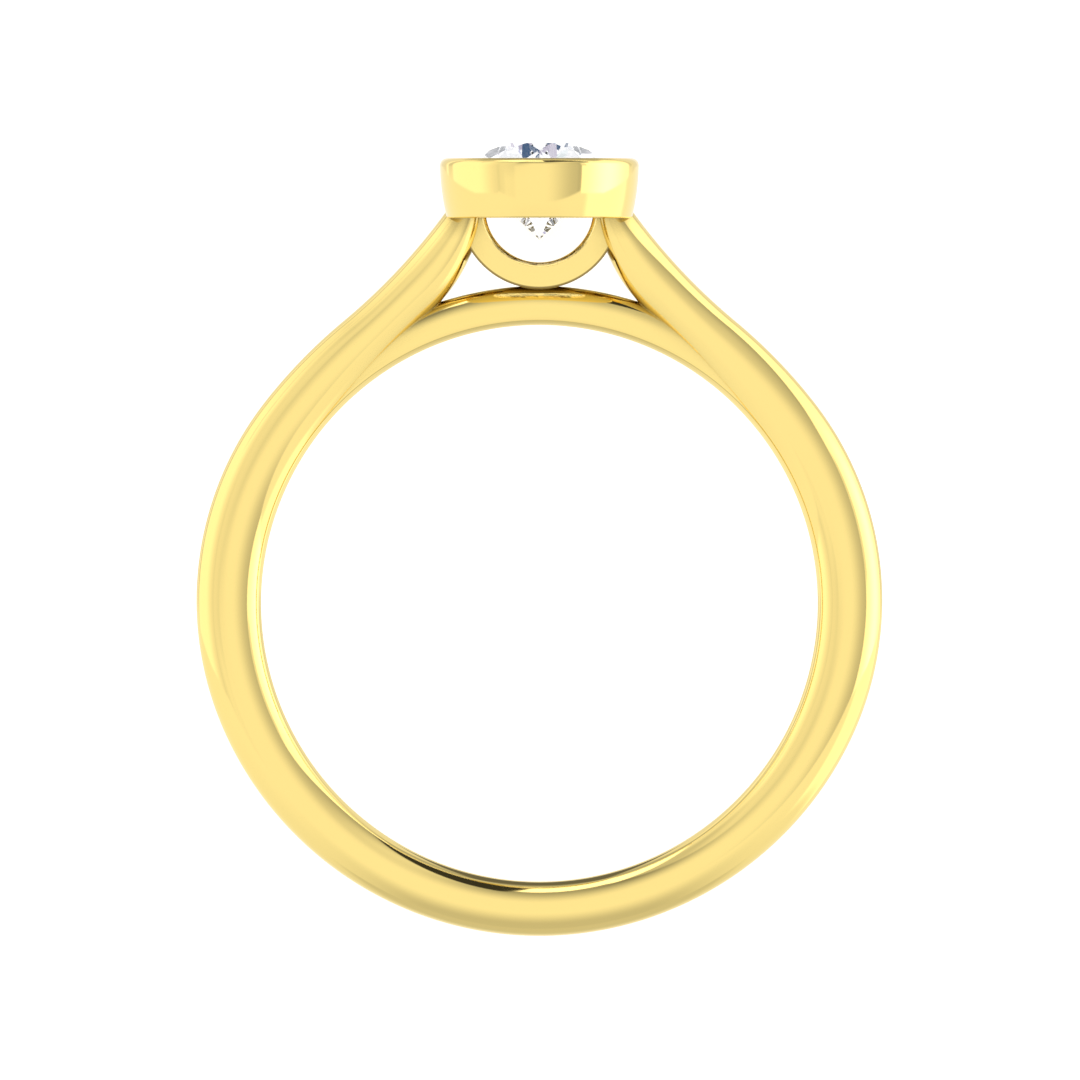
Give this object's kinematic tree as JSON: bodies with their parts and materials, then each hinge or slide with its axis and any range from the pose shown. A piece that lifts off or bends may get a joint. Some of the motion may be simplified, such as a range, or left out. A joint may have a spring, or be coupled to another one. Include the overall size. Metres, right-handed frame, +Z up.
{
  "type": "pear diamond ring",
  "caption": "Finger ring in polished yellow gold: a court band with raised shoulders that carry a pear-cut stone in a pear-shaped bezel over a U-shaped cradle.",
  "frame": {"origin": "centre of the bounding box's underside, on the surface that the ring lies on", "axes": "+Z up, +Y from the bottom of the band towards the stone, +X across the ring; the finger's axis leans 8.5 degrees from +Z"},
  "size_m": [0.021, 0.0241, 0.0083],
  "materials": {
    "gold": "polished 18 carat yellow gold",
    "diamond": "clear faceted diamond"
  },
  "bodies": {
    "root": {"gold_mount": "gold", "pear_diamond": "diamond"}
  },
  "joints": []
}
